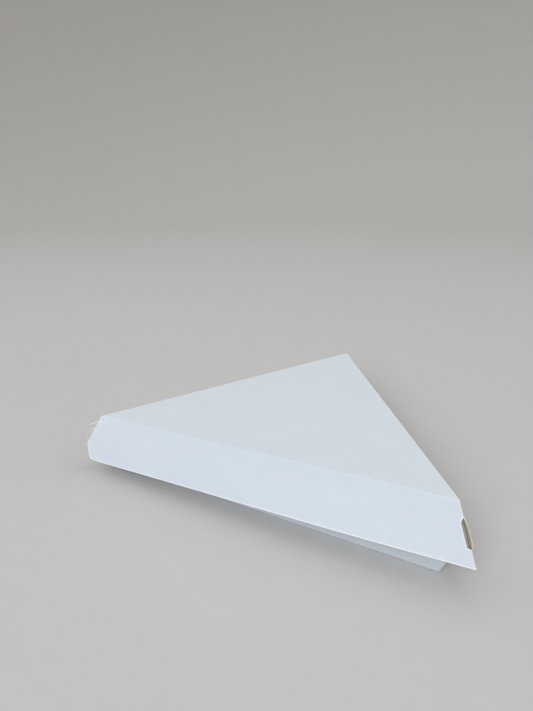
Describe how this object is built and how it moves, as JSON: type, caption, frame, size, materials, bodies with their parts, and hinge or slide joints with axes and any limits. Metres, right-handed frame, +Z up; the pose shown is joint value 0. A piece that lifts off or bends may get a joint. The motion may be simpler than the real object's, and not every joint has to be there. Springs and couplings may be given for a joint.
{
  "type": "pizza slice clamshell",
  "caption": "Triangular white paperboard clamshell for one pizza slice, with a lid that sleeves over the tray, hinged along the crust side and standing slightly ajar.",
  "frame": {"origin": "centroid of the tray's flat triangular underside", "axes": "+X from the crust side towards the point, +Y along the hinge crease, +Z up"},
  "size_m": [0.2295, 0.2506, 0.0494],
  "materials": {
    "white_board": "smooth coated white board outside, uncoated inside, satin to matte"
  },
  "bodies": {
    "tray": {"tray": "white_board"},
    "lid": {"lid": "white_board"}
  },
  "joints": [
    {"name": "lid_hinge", "type": "hinge", "parent": "tray", "child": "lid", "pos_m": [-0.07543, 0, 0.0185], "axis": [0, -1, 0], "range_deg": [0, 177]}
  ]
}
